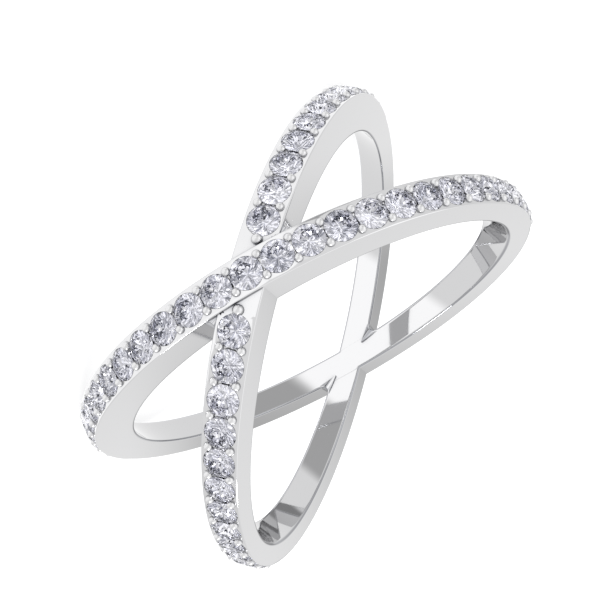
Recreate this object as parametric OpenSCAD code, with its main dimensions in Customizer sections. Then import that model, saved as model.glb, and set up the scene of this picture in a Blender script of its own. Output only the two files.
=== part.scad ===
// Crossover ring: two slim bands that cross at the front and at the back, with a row of small
// round stones along the front half of each. Millimetres. The ring lies on its side: finger axis
// along Z, front crossing at -Y, and the lowest point of the bands at Z = 0.

/* [Finger] */
// Inside diameter, 17.3 mm is a US size 7
bore_d = 17.3; // [15:0.1:20]

/* [Bands] */
// Lean of each band from level, in degrees
band_tilt = 23.8; // [20:0.1:27]
// Metal thickness of the band that passes over, measured at the crossings
band_wall = 2.25; // [2.1:0.05:2.5]
// How far the outer face of the band below lies under the one that passes over
under_drop = 0.13; // [0.08:0.01:0.2]
// Band width at the front crossing
front_w = 1.56; // [1.5:0.02:1.8]
// Band width at the back crossing
back_w = 1.24; // [1.2:0.02:1.5]
// Radius of the solder fillet in the sharp corners of the side windows
fillet_r = 0.25; // [0.2:0.01:0.35]

/* [Stones] */
// Girdle diameter of each round stone
stone_d = 1.23; // [1.1:0.01:1.25]
// Clear gap between the girdles of neighbouring stones
stone_gap = 0.106; // [0.105:0.001:0.15]
// Angle from the front that each row reaches to, in degrees
row_reach = 93.5; // [60:0.5:110]
// Gap between the upper band's wall and the first stones of the lower row
start_gap = 0.23; // [0.15:0.01:0.5]

/* [Seats and beads] */
// Clearance between a stone and its seat
seat_gap = 0.025; // [0.02:0.001:0.04]
// Radius of the small beads, two between each pair of stones
bead_r = 0.165; // [0.14:0.005:0.18]
// Distance of the small beads from the middle of the row
bead_offset = 0.42; // [0.38:0.01:0.46]
// Radius of the single bead on each side of the crossing in the lower row
end_bead_r = 0.23; // [0.18:0.01:0.26]
// Depth of the groove cut along the middle of each row, between the stones
groove_depth = 0.1; // [0.06:0.01:0.14]
// Width of that groove
groove_w = 0.56; // [0.4:0.02:0.6]

/* [Hidden] */
bore_r = bore_d / 2;
over_r = bore_r + band_wall;
under_r = over_r - under_drop;
half_front = front_w / 2;
half_back = back_w / 2;
half_mid = (half_front + half_back) / 2;
wall_slope = (half_back - half_front) / (2 * over_r);
stone_r = stone_d / 2;
// Height of the finger hole's middle when the lowest corner of the bands is at Z = 0
lift = over_r * norm([sin(band_tilt), wall_slope * cos(band_tilt)]) + half_mid * cos(band_tilt);

// Proportions of a round brilliant, as shares of its diameter
table_share = 0.57;
crown_share = 0.15;
girdle_share = 0.025;
pavilion_share = 0.43;
star_share = 0.5;
lower_share = 0.24;
table_r = stone_r * table_share;
crown_h = stone_d * crown_share;
girdle_h = stone_d * girdle_share;
pavilion_h = stone_d * pavilion_share;

// Angle between stones, from the chord at the lower girdle edge
function pitch(r) = 2 * asin((stone_d + stone_gap) / 2 / (r - girdle_h));
over_pitch = pitch(over_r);
over_count = floor(row_reach / over_pitch);
row_end = over_count * over_pitch;
under_start = (half_front + stone_r + start_gap) / sin(2 * band_tilt) / under_r * 180 / PI;
under_count = floor((row_end - under_start) / pitch(under_r));
// Both rows end at the same angle, so the lower row's stones stand a little further apart
under_pitch = (row_end - under_start) / under_count;

// Stone angles on each band
over_angles = [for (i = [-over_count:over_count]) i * over_pitch];
under_angles = [for (s = [-1, 1], i = [0:under_count]) s * (under_start + i * under_pitch)];

// Bead angles: half a pitch either side of the stones
over_beads = [for (i = [-over_count - 1:over_count]) (i + 0.5) * over_pitch];
under_beads = [for (s = [-1, 1], i = [0:under_count]) s * (under_start + (i + 0.5) * under_pitch)];
end_bead_overlap = 0.17 * end_bead_r;
end_bead_angle = under_start - (stone_r + end_bead_r - end_bead_overlap) / under_r * 180 / PI;

// How deep the beads sit, how far hidden edges run into the metal, and lengths of the cutters
bead_sink = 0.12 * bead_r;
fillet_sink = 0.25 * fillet_r;
fillet_root = 1.6 * fillet_r;
fillet_step = 0.12 * fillet_r;
blank_h = 2.5 * front_w;
cut_len = 2.6 * over_r;
$fn = 24;
fine = 240;

// Moves a child from the stone's own frame (+Z outward, girdle top at 0) to an angle on a band
module on_band(side, r, angle) {
    rotate([0, side * band_tilt, 0])
        rotate([0, 0, angle])
            translate([0, -r, 0])
                rotate([90, 0, 0])
                    children();
}

// One band: a round disc in its own tilted plane, between two flat walls that close in backwards
module band_blank(side, r) {
    rotate([0, side * band_tilt, 0])
        intersection() {
            cylinder(r = r, h = blank_h, center = true, $fn = fine);
            rotate([90, 0, 90])
                linear_extrude(height = cut_len, center = true)
                    polygon([
                        [-cut_len / 2, half_mid - wall_slope * cut_len / 2],
                        [cut_len / 2, half_mid + wall_slope * cut_len / 2],
                        [cut_len / 2, -half_mid - wall_slope * cut_len / 2],
                        [-cut_len / 2, -half_mid + wall_slope * cut_len / 2]
                    ]);
        }
}

// Solder in the sharp corner of one side window, at the front or the back crossing
module window_fillet(x_side, y_side, half_w) {
    corner = half_w / sin(band_tilt);
    centre = corner + fillet_r / sin(band_tilt);
    far = corner + fillet_r / tan(band_tilt) * cos(band_tilt);
    high = (far - corner) * tan(band_tilt);
    intersection() {
        rotate([0, -band_tilt, 0])
            cylinder(r = under_r - fillet_step, h = blank_h, center = true, $fn = fine);
        translate([0, y_side * (bore_r + band_wall / 2), 0])
            rotate([90, 0, 0])
                difference() {
                    linear_extrude(height = 1.5 * band_wall, center = true)
                        polygon([
                            [x_side * (corner - fillet_root), 0],
                            [x_side * far, high + fillet_sink],
                            [x_side * far, -high - fillet_sink]
                        ]);
                    translate([x_side * centre, 0, 0])
                        cylinder(r = 1.08 * fillet_r, h = 2 * band_wall, center = true, $fn = 48);
                }
    }
}

// The room cut for one stone: the stone's own form with the seat clearance all round
module seat_cut() {
    g = seat_gap;
    rotate_extrude()
        polygon([
            [0, -girdle_h - pavilion_h - 1.5 * g],
            [stone_r + g, -girdle_h - 0.3 * g],
            [stone_r + g, 0.3 * g],
            [table_r + g, crown_h + g],
            [0, crown_h + g]
        ]);
}

// Groove along a row, from one angle to another
module row_groove(side, r, from, to) {
    rotate([0, side * band_tilt, 0])
        rotate([0, 0, from - 90])
            rotate_extrude(angle = to - from, $fn = fine)
                translate([r - groove_depth, -groove_w / 2])
                    square([5 * groove_depth, groove_w]);
}

// One full brilliant: table, star, kite and girdle facets above, mains and halves below
module brilliant() {
    // the star and lower-half tips lie in the planes of the kites and the pavilion mains
    half_turn = 22.5;
    star_r = table_r * cos(half_turn) * (1 - star_share) + stone_r * star_share;
    star_z = crown_h * (stone_r - star_r * cos(half_turn)) / (stone_r - table_r);
    low_r = stone_r * lower_share;
    low_z = -girdle_h - pavilion_h * (1 - lower_share * cos(half_turn));
    function ring(r, z, n, turn) = [for (i = [0:n - 1]) [r * cos(i * 360 / n + turn), r * sin(i * 360 / n + turn), z]];
    points = concat(
        ring(table_r, crown_h, 8, half_turn),
        ring(star_r, star_z, 8, 0),
        ring(stone_r, 0, 16, 0),
        ring(stone_r, -girdle_h, 16, 0),
        ring(low_r, low_z, 8, half_turn),
        [[0, 0, -girdle_h - pavilion_h]]
    );
    tip = 56;
    faces = concat(
        [[7, 6, 5, 4, 3, 2, 1, 0]],
        // star facets
        [for (i = [0:7]) [(i + 7) % 8, i, 8 + i]],
        // kite facets, as two triangles
        [for (i = [0:7]) [i, 8 + (i + 1) % 8, 16 + 2 * i + 1]],
        [for (i = [0:7]) [i, 16 + 2 * i + 1, 8 + i]],
        // upper girdle facets
        [for (i = [0:7]) [8 + i, 16 + 2 * i + 1, 16 + 2 * i]],
        [for (i = [0:7]) [8 + i, 16 + 2 * i, 16 + (2 * i + 15) % 16]],
        // girdle
        [for (i = [0:15]) [16 + i, 16 + (i + 1) % 16, 32 + (i + 1) % 16]],
        [for (i = [0:15]) [16 + i, 32 + (i + 1) % 16, 32 + i]],
        // lower halves
        [for (i = [0:7]) [32 + 2 * i + 1, 48 + i, 32 + 2 * i]],
        [for (i = [0:7]) [32 + 2 * i + 1, 32 + (2 * i + 2) % 16, 48 + i]],
        // pavilion mains, as two triangles
        [for (i = [0:7]) [32 + 2 * i, 48 + i, tip]],
        [for (i = [0:7]) [32 + 2 * i, tip, 48 + (i + 7) % 8]]
    );
    polyhedron(points = points, faces = faces, convexity = 2);
}

// Both bands soldered into one piece, with the beads raised and every seat cut
module ring_shank() {
    color("silver")
        translate([0, 0, lift]) difference() {
            union() {
                difference() {
                    union() {
                        band_blank(1, over_r);
                        band_blank(-1, under_r);
                        for (x_side = [-1, 1]) {
                            window_fillet(x_side, -1, half_front);
                            window_fillet(x_side, 1, half_back);
                        }
                    }
                    row_groove(1, over_r, over_beads[0], -over_beads[0]);
                    for (s = [-1, 1])
                        row_groove(-1, under_r,
                            s > 0 ? under_start : -under_start - under_count * under_pitch,
                            s > 0 ? under_start + under_count * under_pitch : -under_start);
                }
                for (a = over_beads, z = [-1, 1])
                    on_band(1, over_r, a)
                        translate([0, z * bead_offset, -bead_sink]) sphere(r = bead_r);
                for (a = under_beads, z = [-1, 1])
                    on_band(-1, under_r, a)
                        translate([0, z * bead_offset, -bead_sink]) sphere(r = bead_r);
                for (s = [-1, 1])
                    on_band(-1, under_r, s * end_bead_angle)
                        translate([0, 0, bead_sink]) sphere(r = end_bead_r);
            }
            cylinder(r = bore_r, h = 2 * cut_len, center = true, $fn = fine);
            for (a = over_angles) on_band(1, over_r, a) seat_cut();
            for (a = under_angles) on_band(-1, under_r, a) seat_cut();
        }
}

// The unbroken row along the band that passes over
module stones_over_band() {
    color("white")
        translate([0, 0, lift]) for (a = over_angles) on_band(1, over_r, a) brilliant();
}

// The row below, which stops on both sides of the front crossing
module stones_under_band() {
    color("white")
        translate([0, 0, lift]) for (a = under_angles) on_band(-1, under_r, a) brilliant();
}

ring_shank();
stones_over_band();
stones_under_band();
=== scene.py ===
import bmesh
import bpy
import numpy as np
from mathutils import Matrix


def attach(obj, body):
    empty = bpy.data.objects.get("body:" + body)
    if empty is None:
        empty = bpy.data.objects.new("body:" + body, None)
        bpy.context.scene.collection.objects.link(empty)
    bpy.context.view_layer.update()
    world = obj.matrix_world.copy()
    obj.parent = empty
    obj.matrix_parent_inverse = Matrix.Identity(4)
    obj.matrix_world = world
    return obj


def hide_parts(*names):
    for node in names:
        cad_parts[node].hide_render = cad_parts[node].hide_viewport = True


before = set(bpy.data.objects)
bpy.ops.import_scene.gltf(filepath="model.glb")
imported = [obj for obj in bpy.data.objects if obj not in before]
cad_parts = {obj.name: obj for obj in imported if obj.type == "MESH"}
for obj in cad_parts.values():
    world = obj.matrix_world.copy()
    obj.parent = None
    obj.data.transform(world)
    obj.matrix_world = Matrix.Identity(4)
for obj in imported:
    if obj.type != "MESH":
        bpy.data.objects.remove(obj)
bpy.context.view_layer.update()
print("frame loaded")

mm = 0.001  # the sizes below are in millimetres

# The two bands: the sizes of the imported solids, and the roundings and slopes that those lack
bands = dict(
    boreRadius=8.65,
    tilt=23.8,            # lean of each band from level, degrees
    overRadius=10.9,      # outer radius of the band that passes over
    underRadius=10.77,
    halfFront=0.78,       # half the width at the front crossing
    halfBack=0.62,
    rowEdge=0.035,        # rounding of the outer edges beside the stones
    plainEdge=0.09,       # and where the band is plain
    edgeChange=0.08,      # angle over which the one edge becomes the other, radians
    boreEdge=0.1,         # rounding of the edges at the finger
    boreEdgeLost=0.95,    # share of it that is lost where it lies inside the other band
    lostRise=(0.02, 0.22),     # how far inside that begins and is complete
    lostFall=(0.2, 0.1),  # and how far before and past the solder's end it stops
    boreStep=0.002,       # how far the lower band's bore face lies behind the upper one's
    grooveDepth=0.1,
    grooveHalf=0.28,
    grooveSide=(0.04, 0.02),   # how far its sides slope inwards and outwards from there
    grooveEnd=0.012,      # and its ends, radians
    hiddenDip=0.65,       # how far the lower band's face sinks inside the upper band
    hiddenEdge=(0.56, 0.7),    # from the upper band's middle to where it sinks and where it is level
    edgePoints=5,         # points of the section: outer edge, wall, rounded corner and bore face
    wallStops=(0.03, 0.3, 0.6, 0.97),
    bendPoints=6,
    boreStops=(0.04, 0.2, 0.4, 0.6, 0.8, 0.96),
    plainStep=1.1,        # degrees between columns where there are no stones
    crossingColumns=145,  # columns over the front crossing, on the lower band
    plainRows=11,
    crossingRows=41,
)

# Stones, seats and beads
row = dict(
    stoneRadius=0.615,
    gap=0.106,
    overEachSide=13,      # stones on each side of the middle one
    startGap=0.23,        # from the upper band's wall to the first stones of the lower row
    lastStep=11,          # steps from the first to the last stone of the lower row
    fill=1.08,            # the stones spread to meet their seats, which the solids keep clear of them
    seatRadius=0.67,      # at the rim of its small bevel
    seatSide=0.666,       # and below it
    seatBevel=0.015,
    seatWall=0.04,        # depth at which the seat's cone begins
    seatSpare=0.0375,     # from the stone's point down to the seat's
    seatRim=0.012,        # least metal left between a seat and the rounded edge
    cellPoints=10,        # points along each side of a stone's cell
    cellRings=(0, 0.12, 0.45, 1),      # rings from the seat's rim to the cell's sides
    seatRings=(0, 0.022, 0.06, 0.35, 1),   # and down to the seat's point
    beadRadius=0.185,
    beadOffset=0.445,
    beadRise=0.01,        # of the sphere's centre over the outer face
    beadRings=(0, 18, 36, 54, 72, 90, 112, 180),   # degrees from its top
    beadAround=14,
    beadCut=-0.45,        # where it is cut flat, as a share of its radius
    endBeadRadius=0.23,
    endBeadRise=0.02,
    endBeadReach=0.83,    # share of its radius that it stands off the first stone
    patternStep=7.31,     # from stone to stone in the pavilion's pattern, so that no two are alike
)

# One round brilliant, as shares of its diameter
cut = dict(table=0.57, crown=0.15, girdle=0.025, pavilion=0.43, star=0.5, lower=0.24)

tilt = np.radians(bands["tilt"])
halfMid = (bands["halfFront"] + bands["halfBack"]) / 2
wallSlope = (bands["halfBack"] - bands["halfFront"]) / (2 * bands["overRadius"])
lift = bands["overRadius"] * np.hypot(np.sin(tilt), wallSlope * np.cos(tilt)) + halfMid * np.cos(tilt)
girdleHeight = 2 * row["stoneRadius"] * cut["girdle"]
pavilionHeight = 2 * row["stoneRadius"] * cut["pavilion"]
crownHeight = 2 * row["stoneRadius"] * cut["crown"]
seatTip = girdleHeight + pavilionHeight + row["seatSpare"]


def pitchAt(radius):
    # angle between stones whose lower girdle edges are a stone and a gap apart
    return 2 * np.arcsin((2 * row["stoneRadius"] + row["gap"]) / 2 / (radius - girdleHeight))


overPitch = pitchAt(bands["overRadius"])
rowEnd = row["overEachSide"] * overPitch
startDistance = (bands["halfFront"] + row["stoneRadius"] + row["startGap"]) / np.sin(2 * tilt)
underStart = startDistance / bands["underRadius"]
underPitch = (rowEnd - underStart) / row["lastStep"]
steps = np.arange(row["lastStep"] + 1)
rows = {
    1: dict(radius=bands["overRadius"], pitch=overPitch,
            stones=np.arange(-row["overEachSide"], row["overEachSide"] + 1) * overPitch,
            beads=(np.arange(-row["overEachSide"] - 1, row["overEachSide"] + 1) + 0.5) * overPitch),
    -1: dict(radius=bands["underRadius"], pitch=underPitch,
             stones=np.concatenate([s * (underStart + steps * underPitch) for s in (-1, 1)]),
             beads=np.concatenate([s * (underStart + (steps + 0.5) * underPitch) for s in (-1, 1)])),
}


def ramp(x, low, high):
    # 0 below low, 1 above high, and a smooth rise between
    t = np.clip((x - low) / (high - low), 0, 1)
    return t * t * (3 - 2 * t)


def place(side, angle, radial, across, tangent=0.0):
    # A point at an angle round a band: radial from the band's axis, across its width, and sideways
    # along the tangent; then the band leans by the tilt and stands on the floor. Metres.
    x = radial * np.sin(angle) + tangent * np.cos(angle)
    y = -radial * np.cos(angle) + tangent * np.sin(angle)
    c, s = np.cos(side * tilt), np.sin(side * tilt)
    x, y, z = np.broadcast_arrays(x * c + across * s, y, -x * s + across * c + lift)
    return np.stack([x, y, z], -1) * mm


def halfWidth(angle, radius):
    # half the band's width, from its flat walls that close in backwards
    return halfMid - wallSlope * radius * np.cos(angle)


def boreAt(side, angle, across):
    # Radius in the band's own frame where it meets the upright finger cylinder: the larger root of
    # (r sin cos t + z sin t)^2 + (r cos)^2 = bore^2
    bore = bands["boreRadius"] + (bands["boreStep"] if side < 0 else 0)
    a = (np.sin(angle) * np.cos(tilt)) ** 2 + np.cos(angle) ** 2
    b = np.sin(angle) * np.cos(tilt) * side * across * np.sin(tilt)
    c = (across * np.sin(tilt)) ** 2 - bore ** 2
    return (-b + np.sqrt(b * b - a * c)) / a


def outerEdge(side, angle):
    # rounding of the outer edges: small along the stones, larger on the plain back
    past = np.abs(angle) - rowEnd - rows[side]["pitch"] / 2
    plain = ramp(past, 0, bands["edgeChange"])
    return bands["rowEdge"] + (bands["plainEdge"] - bands["rowEdge"]) * plain


def dipAt(side, angle, across):
    # The lower band's outer face sinks where it is hidden inside the upper band, clear of the seats:
    # the place across the upper band is x sin 2t + z cos 2t
    if side > 0:
        return 0
    over = rows[side]["radius"] * np.sin(angle) * np.sin(2 * tilt) + across * np.cos(2 * tilt)
    atFront = np.cos(angle) > 0.9
    return bands["hiddenDip"] * (1 - ramp(np.abs(over), *bands["hiddenEdge"])) * atFront


def faceAt(side, angle, across):
    # radius of the outer face, lowered by the groove and where it is hidden
    return rows[side]["radius"] - grooveAt(side, angle, across) - dipAt(side, angle, across)


def grooveAt(side, angle, across):
    # the groove along the row: full depth near the middle, and none past its ends
    end = rowEnd + rows[side]["pitch"] / 2 if side > 0 else rowEnd
    along = 1 - ramp(np.abs(angle), end - bands["grooveEnd"], end)
    if side < 0:
        along = along * ramp(np.abs(angle), underStart, underStart + bands["grooveEnd"])
    half, (inwards, outwards) = bands["grooveHalf"], bands["grooveSide"]
    return bands["grooveDepth"] * along * (1 - ramp(np.abs(across), half - inwards, half + outwards))


def seatAt(depth):
    # radius of a seat at a depth under the girdle plane: a small bevel, an upright side, a cone
    depths = [0, row["seatBevel"], row["seatWall"], seatTip]
    return np.interp(depth, depths, [row["seatRadius"], row["seatSide"], row["seatSide"], 0])


class Shell:
    # collects grids of points and their faces into one mesh
    def __init__(self):
        self.points, self.faces, self.finish, self.count = [], [], [], 0

    def add(self, grid, wrap=False, bead=0.0, dull=0.0):
        # grid is (..., rows, columns, 3); each cell of four neighbours is one face
        grid = grid.reshape((-1,) + grid.shape[-3:])
        n, rowCount, columnCount = grid.shape[:3]
        index = np.arange(n * rowCount * columnCount).reshape(n, rowCount, columnCount) + self.count
        if wrap:
            index = np.concatenate([index, index[:, :, :1]], 2)
        quads = np.stack([index[:, :-1, :-1], index[:, 1:, :-1], index[:, 1:, 1:], index[:, :-1, 1:]], -1)
        self.points.append(grid.reshape(-1, 3))
        self.faces.append(quads.reshape(-1, 4))
        finish = [np.broadcast_to(f, grid.shape[:3]).reshape(-1) for f in (bead, dull)]
        self.finish.append(np.stack(finish, -1))
        self.count += grid[..., 0].size

    def build(self, name):
        mesh = bpy.data.meshes.new(name)
        mesh.from_pydata(np.concatenate(self.points).tolist(), [], np.concatenate(self.faces).tolist())
        for finish, values in zip(("bead", "dull"), np.concatenate(self.finish).T):
            layer = mesh.attributes.new(finish, "FLOAT", "POINT")
            layer.data.foreach_set("value", values.astype(np.float32))
        bm = bmesh.new()
        bm.from_mesh(mesh)
        # the grids share their edges, so points under 0.2 micrometres apart are the same
        bmesh.ops.remove_doubles(bm, verts=bm.verts, dist=2e-7)
        bmesh.ops.recalc_face_normals(bm, faces=bm.faces)
        bm.to_mesh(mesh)
        bm.free()
        return mesh


# Solder in the sharp window corners
solder = dict(
    radius=0.25,
    short=0.03,           # how far it ends under the lower band's outer face
    boreStep=0.003,       # and behind the bore face
    root=0.5,             # how far it runs back into the metal
    arcPoints=19,
    stops=(0.08, 0.35, 0.65, 0.9),   # rows between its rounded ends, as shares of its length
)


def bandSection(side, angles):
    # The band's section without its outer face, from the upper outer edge round the bore to the
    # lower one: a quarter circle, the flat wall, a rounded corner, the bore face, and the same back
    radius = rows[side]["radius"]
    angle = angles[:, None]
    turn = np.radians(np.linspace(0, 90, bands["edgePoints"]))[None]
    halves = []
    for up in (1, -1):
        edge = outerEdge(side, angle)
        r = radius - dipAt(side, angle, up * bands["halfFront"]) - edge * (1 - np.cos(turn))
        arc = np.stack([r, up * (halfWidth(angle, r) - edge * (1 - np.sin(turn)))], -1)
        # the corner at the finger: nearly sharp where it lies inside the other band
        corner = boreAt(side, angle, up * halfWidth(angle, bands["boreRadius"]))
        half = halfWidth(angle, corner)
        corner = boreAt(side, angle, up * half)
        inside = side * up * (corner * np.sin(angle) * np.cos(tilt) + side * up * half * np.sin(tilt))
        reach = half / np.sin(tilt) + solder["radius"] / np.tan(tilt) * np.cos(tilt)
        before, past = bands["lostFall"]
        hidden = ramp(inside, *bands["lostRise"]) * (1 - ramp(inside, reach - before, reach + past))
        soft = bands["boreEdge"] * (1 - bands["boreEdgeLost"] * hidden)
        start = np.stack([corner + soft, up * halfWidth(angle, corner + soft)], -1)
        middle = np.stack([corner, up * half], -1)
        stop = np.stack([boreAt(side, angle, up * (half - soft)), up * (half - soft)], -1)
        q = np.linspace(0, 1, bands["bendPoints"])[None, :, None]
        bend = start * (1 - q) ** 2 + middle * 2 * q * (1 - q) + stop * q ** 2
        share = np.array(bands["wallStops"])[None, :]
        r = arc[:, -1:, 0] * (1 - share) + bend[:, :1, 0] * share
        wall = np.stack([r, up * halfWidth(angle, r)], -1)
        halves.append(np.concatenate([arc, wall, bend], 1))
    share = np.array(bands["boreStops"])[None, :]
    across = halves[0][:, -1:, 1] * (1 - share) + halves[1][:, -1:, 1] * share
    bore = np.stack([boreAt(side, angle, across), across], -1)
    section = np.concatenate([halves[0], bore, halves[1][:, ::-1]], 1)
    return place(side, angle, section[..., 0], section[..., 1])


def sectionPaintedShade():
    # How much painted shade each point of the section gets: the rounded corners at the finger, and the
    # wall and outer edge on the side that the ring lies on, which are painted a darker grey
    wall, bore = len(bands["wallStops"]), len(bands["boreStops"])
    upper = np.concatenate([np.zeros(bands["edgePoints"] + wall), [0, 0.7, 1, 1, 0.7, 0]])
    lower = np.concatenate([[0, 0.5, 0.6, 0.8, 1], np.ones(wall), [1, 1, 1, 1, 0.7, 0]])
    return np.concatenate([upper, np.zeros(bore), lower[::-1]])


def outerFace(side, angles, across):
    # the round outer face at given angles and places across
    return place(side, angles, faceAt(side, angles, across), across)


def addBand(shell, side):
    radius, pitch, centres = rows[side]["radius"], rows[side]["pitch"], rows[side]["stones"]
    half = pitch / 2
    # columns: the points of each stone's cell, and even steps over the plain stretches
    perSide = row["cellPoints"]
    fine = (np.sort(centres)[:, None] - half + np.arange(perSide) * pitch / perSide).ravel()
    last = rowEnd + half
    plainCount = int(np.ceil((2 * np.pi - 2 * last) / np.radians(bands["plainStep"])))
    plain = [np.linspace(last, 2 * np.pi - last, plainCount + 1)]
    if side < 0:
        first = underStart - half
        plain.append(np.linspace(-first, first, bands["crossingColumns"]))
    angles = np.unique(np.round(np.concatenate([fine] + [p[:-1] for p in plain]), 9))
    section = bandSection(side, angles)
    # the section carries painted shade on its finger edges and on its lower side
    shell.add(np.concatenate([section, section[:1]]), dull=sectionPaintedShade())
    for p, rowsAcross in zip(plain, (bands["plainRows"], bands["crossingRows"])):
        edge = halfWidth(p, radius) - outerEdge(side, p)
        across = edge[:, None] * np.linspace(1, -1, rowsAcross)[None]
        shell.add(outerFace(side, p[:, None], across))
    # cells with a seat: rings from the hole's edge out to the cell's four sides
    u = np.linspace(-1, 1, perSide + 1)[:-1]
    one = np.ones(perSide)
    along = np.concatenate([u, one, -u, -one])[None] * half
    sideways = np.concatenate([one, -u, -one, u])[None]
    centre = centres[:, None]
    limit = halfWidth(centre + along, radius) - outerEdge(side, centre + along)
    rim = sideways * limit
    turn = np.arctan2(rim, radius * along)
    # The hole's edge, where the seat meets the outer face or the groove's floor: twelve rounds that
    # each go most of the way to the seat's radius at the depth found so far
    hole = np.full_like(turn, row["seatRadius"])
    widest = limit - row["seatRim"]
    for _ in range(12):
        b = np.clip(hole * np.sin(turn), -widest, widest)
        face = radius - grooveAt(side, centre, b)
        depth = radius - np.sqrt(face ** 2 - (hole * np.cos(turn)) ** 2)
        hole = hole * 0.4 + seatAt(depth) * 0.6
    a, b = hole * np.cos(turn), np.clip(hole * np.sin(turn), -widest, widest)
    edgeAngle = np.arctan2(a, radius - depth)
    t = np.array(row["cellRings"])[None, :, None]
    cellAngle = centre[:, None] + edgeAngle[:, None] * (1 - t) + along[:, None] * t
    cellAcross = b[:, None] * (1 - t) + rim[:, None] * t
    radial = faceAt(side, cellAngle, cellAcross)
    radial[:, 0] = np.hypot(a, radius - depth)
    grid = place(side, cellAngle, radial, cellAcross)
    shell.add(grid, wrap=True)
    # the seat itself, down to its point
    s = np.array(row["seatRings"])[None, :, None]
    down = depth[:, None] + (seatTip - depth[:, None]) * s
    seat = seatAt(down)
    seatAcross = np.clip(seat * np.sin(turn)[:, None], -widest[:, None], widest[:, None])
    pit = place(side, centre[:, None], radius - down, seatAcross, seat * np.cos(turn)[:, None])
    pit[:, 0] = grid[:, 0]
    shell.add(pit, wrap=True)


def addFillet(shell, xSide, ySide):
    # Solder in a sharp window corner: an arc tangent to both walls, carried from the bore to just
    # under the lower band's outer face, and rounded off at both ends
    fillet = solder["radius"]
    outer = bands["underRadius"] - solder["short"]
    turn = np.radians(np.linspace(90, 270, solder["arcPoints"]))
    turn = (turn + tilt * np.linspace(1, -1, solder["arcPoints"]))[None]

    def at(share, recess):
        # share 0 is the outer end and 1 the bore; recess widens the arc into the metal
        reach = bands["boreRadius"] + (1 - share) * (outer - bands["boreRadius"])
        half = halfMid - wallSlope * reach * (1 if ySide < 0 else -1)
        centre = (half + fillet) / np.sin(tilt)
        x = xSide * (centre + (fillet + recess) * np.cos(turn))
        z = (fillet + recess) * np.sin(turn)
        nearY = np.sqrt((bands["boreRadius"] + solder["boreStep"]) ** 2 - x ** 2)
        farY = np.sqrt(outer ** 2 - (x * np.cos(tilt) + z * np.sin(tilt)) ** 2)
        y = ySide * (farY * (1 - share) + nearY * share)
        root = (half / np.sin(tilt) - solder["root"]) * xSide
        x, y = np.concatenate([x, root], 1), np.concatenate([y, y[:, :1]], 1)
        z = np.concatenate([z, np.zeros_like(root)], 1)
        return np.stack([x, y, z + lift], -1) * mm

    quarter = np.linspace(0, np.pi / 2, 5)[:, None]
    length = outer - bands["boreRadius"]
    outEdge, inEdge = bands["rowEdge"], bands["boreEdge"]
    stops = np.array(solder["stops"])[:, None]
    share = np.concatenate([
        outEdge / length * (1 - np.cos(quarter)),
        stops,
        1 - inEdge / length * (1 - np.cos(quarter[::-1])),
    ])
    recess = np.concatenate([
        outEdge * (1 - np.sin(quarter)),
        0 * stops,
        inEdge * (1 - np.sin(quarter[::-1])),
    ])
    wall = at(share, recess)
    # the solder is painted the darker grey, as shade in the window corner
    shell.add(wall, wrap=True, dull=1.0)
    for end in (0, -1):
        cap = wall[end][None, :]
        shell.add(np.concatenate([cap, np.repeat(cap[:, -1:], cap.shape[1], 1)]), wrap=True)


def addBeads(shell, side, angles, offsets, radius, rise):
    # Raised beads: a sphere standing out of the outer face, cut flat where it is sunk in the metal
    polar = np.radians(np.array(row["beadRings"]))[:, None]
    turn = np.radians(np.arange(0, 360, 360 / row["beadAround"]))[None]
    x = radius * np.sin(polar) * np.cos(turn)
    y = radius * np.sin(polar) * np.sin(turn)
    z = radius * np.maximum(np.cos(polar), row["beadCut"]) * np.ones_like(turn)
    for up in offsets:
        at = np.asarray(angles)[:, None, None]
        grid = place(side, at, rows[side]["radius"] + rise + z[None], up + y[None], x[None])
        shell.add(grid, wrap=True, bead=1.0)


shell = Shell()
for side in (1, -1):
    addBand(shell, side)
for xSide in (-1, 1):
    for ySide in (-1, 1):
        addFillet(shell, xSide, ySide)
for side in (1, -1):
    offsets = (row["beadOffset"], -row["beadOffset"])
    addBeads(shell, side, rows[side]["beads"], offsets, row["beadRadius"], row["beadRise"])
endReach = row["stoneRadius"] + row["endBeadReach"] * row["endBeadRadius"]
endAngle = underStart - endReach / bands["underRadius"]
addBeads(shell, -1, [endAngle, -endAngle], (0,), row["endBeadRadius"], row["endBeadRise"])
shankMesh = shell.build("ringShank")
shankMesh.shade_smooth()
shankMesh.set_sharp_from_angle(angle=np.radians(50))
shank = bpy.data.objects.new("ringShank", shankMesh)
bpy.context.collection.objects.link(shank)
print("shank built,", len(shankMesh.polygons), "faces")


def brilliantPoints():
    # Rings of points about the stone's axis: table, star tips, two girdle edges, lower tips, point.
    # The star and lower tips lie in the planes of the kites and the pavilion mains.
    halfTurn = np.radians(22.5)
    stoneRadius = row["stoneRadius"]
    table = stoneRadius * cut["table"]
    star = table * np.cos(halfTurn) * (1 - cut["star"]) + stoneRadius * cut["star"]
    starHeight = crownHeight * (stoneRadius - star * np.cos(halfTurn)) / (stoneRadius - table)
    low = stoneRadius * cut["lower"]
    lowHeight = -girdleHeight - pavilionHeight * (1 - cut["lower"] * np.cos(halfTurn))

    def ring(radius, height, count, turn):
        angle = np.arange(count) * 2 * np.pi / count + turn
        return np.stack([radius * np.cos(angle), radius * np.sin(angle), np.full(count, height)], -1)

    return np.concatenate([
        ring(table, crownHeight, 8, halfTurn), ring(star, starHeight, 8, 0),
        ring(stoneRadius, 0, 16, 0), ring(stoneRadius, -girdleHeight, 16, 0),
        ring(low, lowHeight, 8, halfTurn), [[0, 0, -girdleHeight - pavilionHeight]],
    ])


facetsBelow = 16 + 16 + 8  # girdle, lower halves and pavilion mains, which come last


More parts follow.
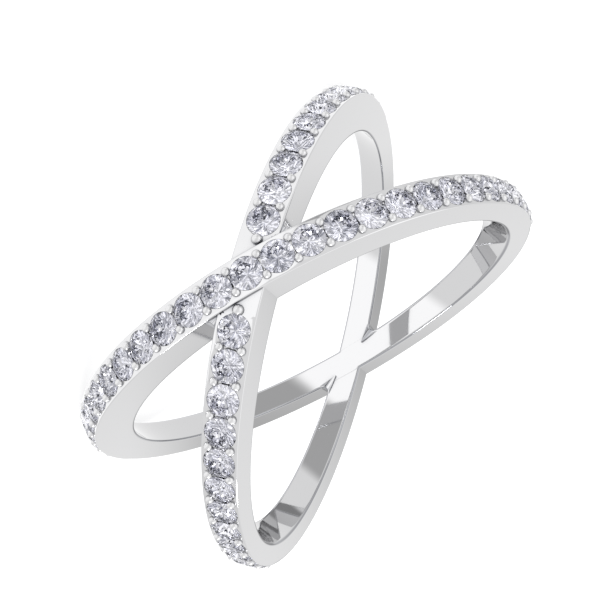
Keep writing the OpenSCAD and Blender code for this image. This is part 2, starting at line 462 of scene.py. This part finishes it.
def brilliantFacets():
    # table, stars, kites, upper halves, girdle, lower halves and pavilion mains
    i = np.arange(8)
    j = np.arange(16)
    facets = [list(range(8))]
    facets += np.stack([(i + 7) % 8, 8 + i, i], -1).tolist()
    facets += np.stack([i, 8 + i, 17 + 2 * i, 8 + (i + 1) % 8], -1).tolist()
    facets += np.stack([8 + i, 16 + 2 * i, 17 + 2 * i], -1).tolist()
    facets += np.stack([8 + i, 16 + (2 * i + 15) % 16, 16 + 2 * i], -1).tolist()
    facets += np.stack([16 + j, 32 + j, 32 + (j + 1) % 16, 16 + (j + 1) % 16], -1).tolist()
    facets += np.stack([33 + 2 * i, 32 + 2 * i, 48 + i], -1).tolist()
    facets += np.stack([33 + 2 * i, 48 + i, 32 + (2 * i + 2) % 16], -1).tolist()
    facets += np.stack([32 + 2 * i, 48 + (i + 7) % 8, np.full(8, 56), 48 + i], -1).tolist()
    return facets


def stoneRow(name, side, seed):
    # One brilliant at each seat, turned in it by chance as a setter leaves them: its points are
    # turned about its own axis, then placed with that axis pointing out of the band
    points, facets = brilliantPoints(), brilliantFacets()
    chance = np.random.default_rng(seed)
    centres = rows[side]["stones"]
    points[:, :2] *= row["fill"]
    twist = chance.uniform(0, np.pi / 4, len(centres))[:, None]
    x = points[:, 0] * np.cos(twist) - points[:, 1] * np.sin(twist)
    y = points[:, 0] * np.sin(twist) + points[:, 1] * np.cos(twist)
    placed = place(side, centres[:, None], rows[side]["radius"] + points[:, 2], y, x)
    faces = [[v + k * len(points) for v in f] for k in range(len(centres)) for f in facets]
    mesh = bpy.data.meshes.new(name)
    mesh.from_pydata(placed.reshape(-1, 3).tolist(), [], faces)
    mesh.shade_flat()
    below = np.arange(len(facets)) >= len(facets) - facetsBelow
    mesh.polygons.foreach_set("material_index", np.tile(below, len(centres)).astype(np.int32))
    bm = bmesh.new()
    bm.from_mesh(mesh)
    bmesh.ops.recalc_face_normals(bm, faces=bm.faces)
    bm.to_mesh(mesh)
    bm.free()
    # each stone's own plan: across it in two directions, and a number that tells it from the others
    plan = np.empty((len(centres), len(points), 3), np.float32)
    plan[..., :2] = points[None, :, :2] / row["stoneRadius"]
    plan[..., 2] = (np.arange(len(centres)) * row["patternStep"] + seed)[:, None]
    layer = mesh.attributes.new("plan", "FLOAT_VECTOR", "POINT")
    layer.data.foreach_set("vector", plan.ravel())
    stones = bpy.data.objects.new(name, mesh)
    bpy.context.collection.objects.link(stones)
    return stones


overStones = stoneRow("overStones", 1, 5)
underStones = stoneRow("underStones", -1, 8)
print("stones set")


def fromHex(text):
    # sRGB hex to linear
    c = np.array([int(text[k:k + 2], 16) / 255 for k in (1, 3, 5)])
    c = np.where(c <= 0.04045, c / 12.92, ((c + 0.055) / 1.055) ** 2.4)
    return (*c.tolist(), 1.0)


def addNode(tree, kind, settings=None, **links):
    # one node: settings are its properties and socket values, links its incoming sockets
    node = tree.nodes.new(kind)
    for key, value in (settings or {}).items():
        if isinstance(key, int) or key in node.inputs:
            node.inputs[key].default_value = value
        else:
            setattr(node, key, value)
    for key, source in links.items():
        tree.links.new(source, node.inputs[key.replace("_", " ")])
    return node


def newMaterial(name):
    material = bpy.data.materials.new(name)
    material.use_nodes = True
    tree = material.node_tree
    tree.nodes.clear()
    return material, tree


# White gold under a rhodium plate, buffed to a mirror: neutral and bright, with the faintest haze
# from the buff. Tight corners, such as the seats, carry painted shade: the colour darkens where other
# metal is close. The beads are pushed up with a punch and shine softly. Some edges carry painted shade.
goldLook = dict(
    color="#c3c3c4",
    # painted shade in corners, mixed in where the ambient occlusion finds other metal close
    paintedCornerShade="#7c7d82",
    cornerReach=0.45,          # mm within which other metal makes a corner
    cornerOpen=(0.25, 0.85),   # openness of a corner, and of clear metal
    # painted shade on the edges, the lower side and the solder
    paintedShadeColor="#8d8e92",
    roughness=(0.03, 0.06),
    beadRoughness=0.25,
    hazeSize=0.9,              # mm, patches that the buff leaves
    grainSize=0.12,            # mm, coarser than the real polish so that it shows
    grainDepth=0.002,          # mm
)


def rhodiumPlatedGold():
    material, tree = newMaterial("rhodiumPlatedWhiteGold")
    position = addNode(tree, "ShaderNodeTexCoord").outputs["Object"]
    buff = addNode(tree, "ShaderNodeTexNoise", {"Scale": 1 / (goldLook["hazeSize"] * mm), "Detail": 3.0},
                   Vector=position)
    bead = addNode(tree, "ShaderNodeAttribute", {"attribute_name": "bead"})
    dull = addNode(tree, "ShaderNodeAttribute", {"attribute_name": "dull"})
    # painted shade: the colour turns darker where metal lies close round a point
    corner = addNode(tree, "ShaderNodeAmbientOcclusion", {
        "samples": 6, "only_local": True, "Distance": goldLook["cornerReach"] * mm})
    cornerShade = addNode(tree, "ShaderNodeValToRGB", Fac=corner.outputs["AO"])
    ends = zip(cornerShade.color_ramp.elements, goldLook["cornerOpen"], ("paintedCornerShade", "color"))
    for element, openness, color in ends:
        element.position, element.color = openness, fromHex(goldLook[color])
    low, high = goldLook["roughness"]
    haze = addNode(tree, "ShaderNodeMapRange", {"To Min": low, "To Max": high}, Value=buff.outputs["Fac"])
    rough = addNode(tree, "ShaderNodeMath", {"operation": "MULTIPLY_ADD", 1: goldLook["beadRoughness"]},
                    Value=bead.outputs["Fac"])
    tree.links.new(haze.outputs["Result"], rough.inputs[2])
    grain = addNode(tree, "ShaderNodeTexNoise", {"Scale": 1 / (goldLook["grainSize"] * mm), "Detail": 2.0},
                    Vector=position)
    bump = addNode(tree, "ShaderNodeBump", {"Strength": 0.02, "Distance": goldLook["grainDepth"] * mm},
                   Height=grain.outputs["Fac"])
    shader = addNode(tree, "ShaderNodeBsdfPrincipled", {"Metallic": 1.0}, Roughness=rough.outputs["Value"],
                     Normal=bump.outputs["Normal"])
    # painted shade: where the dull attribute is set, the colour turns to a darker grey
    joined = addNode(tree, "ShaderNodeMix", {"data_type": "RGBA"})
    tree.links.new(dull.outputs["Fac"], joined.inputs[0])
    tree.links.new(cornerShade.outputs["Color"], joined.inputs[6])
    joined.inputs[7].default_value = fromHex(goldLook["paintedShadeColor"])
    tree.links.new(joined.outputs[2], shader.inputs["Base Color"])
    addNode(tree, "ShaderNodeOutputMaterial", Surface=shader.outputs["BSDF"])
    return material


# Colourless diamond, polished facets, bright returns beside dark ones. The pavilion is a mirror that
# turns back all the light that reaches it, and its narrow cells are painted in tones from grey to
# white: painted reflection, standing in for how bright each facet's return is, which gives the eye
# a star of fine rays round the middle of the stone. The real index is 2.417: with these mirrors
# under it, that leaves a dark crescent on each stone seen at a slant, so the index is lower here.
diamondLook = dict(
    crown="#f4f4f7",
    sheen="#8c8f9a",
    index=1.9,
    around=32,    # cells round the stone
    outward=1.8,  # and from its middle to its edge
    scatter=0.8,  # how far the cells stray from an even pattern
    # painted reflection: the tones of the pavilion's cells, from grey to white
    paintedReturns=((0.0, "#90929a"), (0.14, "#cccdd4"), (0.34, "#f3f3f7"), (1.0, "#ffffff")),
)


def cutDiamond():
    material, tree = newMaterial("cutDiamond")
    shader = addNode(tree, "ShaderNodeBsdfPrincipled", {
        "Base Color": fromHex(diamondLook["crown"]), "Specular Tint": fromHex(diamondLook["sheen"]),
        "Roughness": 0.0, "IOR": diamondLook["index"], "Transmission Weight": 1.0})
    addNode(tree, "ShaderNodeOutputMaterial", Surface=shader.outputs["BSDF"])
    return material


def diamondPavilion():
    material, tree = newMaterial("diamondPavilion")
    plan = addNode(tree, "ShaderNodeAttribute", {"attribute_name": "plan"})
    axes = addNode(tree, "ShaderNodeSeparateXYZ", Vector=plan.outputs["Vector"])
    turn = addNode(tree, "ShaderNodeMath", {"operation": "ARCTAN2"})
    tree.links.new(axes.outputs["Y"], turn.inputs[0])
    tree.links.new(axes.outputs["X"], turn.inputs[1])
    flat = addNode(tree, "ShaderNodeCombineXYZ", X=axes.outputs["X"], Y=axes.outputs["Y"])
    reach = addNode(tree, "ShaderNodeVectorMath", {"operation": "LENGTH"}, Vector=flat.outputs["Vector"])
    perTurn = diamondLook["around"] / (2 * np.pi)
    around = addNode(tree, "ShaderNodeMath", {"operation": "MULTIPLY", 1: perTurn},
                     Value=turn.outputs["Value"])
    outward = addNode(tree, "ShaderNodeMath", {"operation": "MULTIPLY", 1: diamondLook["outward"]},
                      Value=reach.outputs["Value"])
    polar = addNode(tree, "ShaderNodeCombineXYZ", X=around.outputs["Value"], Y=outward.outputs["Value"],
                    Z=axes.outputs["Z"])
    cells = addNode(tree, "ShaderNodeTexVoronoi", {"Scale": 1.0, "Randomness": diamondLook["scatter"]},
                    Vector=polar.outputs["Vector"])
    tone = addNode(tree, "ShaderNodeSeparateColor", Color=cells.outputs["Color"])
    # painted reflection: each cell's tone stands in for the brightness of its return
    paintedReturns = addNode(tree, "ShaderNodeValToRGB", Fac=tone.outputs["Red"])
    while len(paintedReturns.color_ramp.elements) < len(diamondLook["paintedReturns"]):
        paintedReturns.color_ramp.elements.new(0.5)
    for element, (position, color) in zip(paintedReturns.color_ramp.elements, diamondLook["paintedReturns"]):
        element.position, element.color = position, fromHex(color)
    shader = addNode(tree, "ShaderNodeBsdfPrincipled", {"Roughness": 0.0, "Metallic": 1.0},
                     Base_Color=paintedReturns.outputs["Color"])
    addNode(tree, "ShaderNodeOutputMaterial", Surface=shader.outputs["BSDF"])
    return material


shank.data.materials.append(rhodiumPlatedGold())
diamond, pavilion = cutDiamond(), diamondPavilion()
for stones in (overStones, underStones):
    stones.data.materials.append(diamond)
    stones.data.materials.append(pavilion)
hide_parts("ring_shank")
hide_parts("stones_over_band")
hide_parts("stones_under_band")
for piece, slot in ((shank, "white_gold"), (overStones, "diamond_over"), (underStones, "diamond_under")):
    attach(piece, "root")
print("materials set")

# Floor: a plain matt pale sheet, lit a little from below like a light table. The metal and the
# stones don't mirror it, since the ring in the photograph floats clear of any floor.
sheet = dict(color="#9a9a9b", glow=0.74, size=3000.0, under=0.002)
floorMesh = bpy.data.meshes.new("floor")
corners = np.array([(-1, -1, 0), (1, -1, 0), (1, 1, 0), (-1, 1, 0)]) * sheet["size"] * mm
floorMesh.from_pydata(corners.tolist(), [], [(0, 1, 2, 3)])
floor = bpy.data.objects.new("floor", floorMesh)
floor.location.z = -sheet["under"] * mm
floor.visible_glossy = floor.visible_transmission = False
bpy.context.collection.objects.link(floor)
floorMaterial, tree = newMaterial("mattPaleSheet")
shader = addNode(tree, "ShaderNodeBsdfPrincipled", {
    "Base Color": fromHex(sheet["color"]), "Emission Color": (1, 1, 1, 1),
    "Emission Strength": sheet["glow"], "Roughness": 0.7, "Specular IOR Level": 0.2})
addNode(tree, "ShaderNodeOutputMaterial", Surface=shader.outputs["BSDF"])
floorMesh.materials.append(floorMaterial)

# Studio: even pale light all round, brighter overhead, and two wide sun lamps. The metal also mirrors
# some things kept low round the ring: soft cards, a glow from below, and a dim strip behind it.
# Edges, where one thing fades into the next, are parts of a direction's unit vector.
studio = dict(
    back=1.14,                   # strength behind the ring
    front=1.25,                  # and on the camera's side
    backEdge=(-0.5, 0.2),
    zenith=1.6,
    zenithEdge=(0.6, 0.9),
    strip=0.52,                  # the dim strip fades upwards and sideways
    stripRise=(0.09, 0.25),
    stripSide=(0.25, 0.35),
    around=1.2,                  # low round the ring, between the cards
    aroundEdge=(-0.215, -0.15),
    below=1.6,
    belowEdge=(-0.48, -0.36),
    cards=(
        # direction, strength, and where the soft edge begins and ends
        ((0.292, -0.956, 0.0), 1.72, (0.6, 0.72)),
        ((-0.809, -0.588, 0.0), 0.62, (0.865, 0.925)),
    ),
    panels=(0.62, 1.3),          # dark and bright panels, for the light that goes through a stone
    panelEdge=(0.46, 0.56),
    panelSize=12.0,
    lamps=(
        # name, direction it comes from, strength, apparent width in degrees
        ("key", (0.79, 0.1, 0.62), 1.1, 16),
        ("fill", (-0.7, -0.4, 0.6), 0.3, 50),
    ),
)
world = bpy.data.worlds.new("studio")
bpy.context.scene.world = world
world.use_nodes = True
tree = world.node_tree
tree.nodes.clear()
direction = addNode(tree, "ShaderNodeTexCoord").outputs["Generated"]
axes = addNode(tree, "ShaderNodeSeparateXYZ", Vector=direction)
rays = addNode(tree, "ShaderNodeLightPath")
blobs = addNode(tree, "ShaderNodeTexNoise", {"Scale": studio["panelSize"], "Detail": 1.0}, Vector=direction)
low, high = studio["panelEdge"]
dark, bright = studio["panels"]
panels = addNode(tree, "ShaderNodeMapRange", {
    "From Min": low, "From Max": high, "To Min": dark, "To Max": bright}, Value=blobs.outputs["Fac"])
low, high = studio["backEdge"]
walls = addNode(tree, "ShaderNodeMapRange", {
    "From Min": low, "From Max": high, "To Min": studio["front"], "To Max": studio["back"]},
    Value=axes.outputs["Y"])
low, high = studio["zenithEdge"]
height = addNode(tree, "ShaderNodeMapRange", {"From Min": low, "From Max": high}, Value=axes.outputs["Z"])
openRoom = addNode(tree, "ShaderNodeMix", {"data_type": "FLOAT", 3: studio["zenith"]})
tree.links.new(height.outputs["Result"], openRoom.inputs[0])
tree.links.new(walls.outputs["Result"], openRoom.inputs[2])
# the dim strip, that the flat walls of the bands mirror: only mirrored rays see it
low, high = studio["stripRise"]
rise = addNode(tree, "ShaderNodeMapRange", {
    "interpolation_type": "SMOOTHSTEP", "From Min": low, "From Max": high, "To Min": studio["strip"]},
    Value=axes.outputs["Z"])
tree.links.new(openRoom.outputs[0], rise.inputs["To Max"])
sideways = addNode(tree, "ShaderNodeMath", {"operation": "ABSOLUTE"}, Value=axes.outputs["X"])
low, high = studio["stripSide"]
strip = addNode(tree, "ShaderNodeMapRange", {
    "interpolation_type": "SMOOTHSTEP", "From Min": low, "From Max": high, "To Min": 1.0, "To Max": 0.0},
    Value=sideways.outputs["Value"])
behind = addNode(tree, "ShaderNodeMath", {"operation": "GREATER_THAN", 1: 0.0}, Value=axes.outputs["Y"])
share = strip.outputs["Result"]
for factor in (behind.outputs["Value"], rays.outputs["Is Glossy Ray"]):
    product = addNode(tree, "ShaderNodeMath", {"operation": "MULTIPLY"})
    tree.links.new(share, product.inputs[0])
    tree.links.new(factor, product.inputs[1])
    share = product.outputs["Value"]
level = addNode(tree, "ShaderNodeMix", {"data_type": "FLOAT"})
tree.links.new(share, level.inputs[0])
tree.links.new(openRoom.outputs[0], level.inputs[2])
tree.links.new(rise.outputs["Result"], level.inputs[3])
# the cards, each over the one before
under = None
for where, strength, (low, high) in studio["cards"]:
    towards = addNode(tree, "ShaderNodeVectorMath", {"operation": "DOT_PRODUCT", 1: where})
    tree.links.new(direction, towards.inputs[0])
    card = addNode(tree, "ShaderNodeMapRange", {
        "interpolation_type": "SMOOTHSTEP", "From Min": low, "From Max": high,
        "To Min": studio["around"], "To Max": strength}, Value=towards.outputs["Value"])
    if under is not None:
        tree.links.new(under, card.inputs["To Min"])
    under = card.outputs["Result"]
low, high = studio["belowEdge"]
below = addNode(tree, "ShaderNodeMapRange", {
    "interpolation_type": "SMOOTHSTEP", "From Min": low, "From Max": high, "To Min": studio["below"]},
    Value=axes.outputs["Z"])
tree.links.new(under, below.inputs["To Max"])
low, high = studio["aroundEdge"]
whole = addNode(tree, "ShaderNodeMapRange", {
    "interpolation_type": "SMOOTHSTEP", "From Min": low, "From Max": high}, Value=axes.outputs["Z"])
tree.links.new(below.outputs["Result"], whole.inputs["To Min"])
tree.links.new(level.outputs[0], whole.inputs["To Max"])
# only light that has been through a stone comes from the panels
seen = addNode(tree, "ShaderNodeMix", {"data_type": "FLOAT"})
tree.links.new(rays.outputs["Is Transmission Ray"], seen.inputs[0])
tree.links.new(whole.outputs["Result"], seen.inputs[2])
tree.links.new(panels.outputs["Result"], seen.inputs[3])
room = addNode(tree, "ShaderNodeBackground", {"Color": (1, 1, 1, 1)}, Strength=seen.outputs[0])
addNode(tree, "ShaderNodeOutputWorld", Surface=room.outputs["Background"])
for name, where, strength, width in studio["lamps"]:
    lamp = bpy.data.lights.new(name, "SUN")
    lamp.energy, lamp.angle = strength, np.radians(width)
    lampObject = bpy.data.objects.new(name, lamp)
    lampObject.location = where
    lampObject.rotation_mode = "QUATERNION"
    lampObject.rotation_quaternion = (-lampObject.location).to_track_quat("-Z", "Y")
    bpy.context.collection.objects.link(lampObject)

# Camera: worked out from the photograph's outlines, and rolled with it. Right and down are the
# picture's.
lens = dict(
    place=(0.000794, -0.05618, 0.02224),
    right=(-0.60716, 0.23336, 0.75954),
    down=(0.79417, 0.20861, 0.57076),
    focal=77.66,
    sensor=36,
    clip=(0.001, 20),
)
camera = bpy.data.objects.new("camera", bpy.data.cameras.new("camera"))
bpy.context.collection.objects.link(camera)
right, up = np.array(lens["right"]), -np.array(lens["down"])
turned = Matrix(np.stack([right, up, np.cross(right, up)], -1).tolist())
camera.matrix_world = Matrix.Translation(lens["place"]) @ turned.to_4x4()
camera.data.lens = lens["focal"]
camera.data.sensor_width = lens["sensor"]
camera.data.clip_start, camera.data.clip_end = lens["clip"]
bpy.context.scene.camera = camera
bpy.context.scene.view_settings.view_transform = "Standard"
# light goes round inside a stone many times before it comes out
bpy.context.scene.cycles.max_bounces = 16
bpy.context.scene.cycles.glossy_bounces = 14
print("studio and camera set")
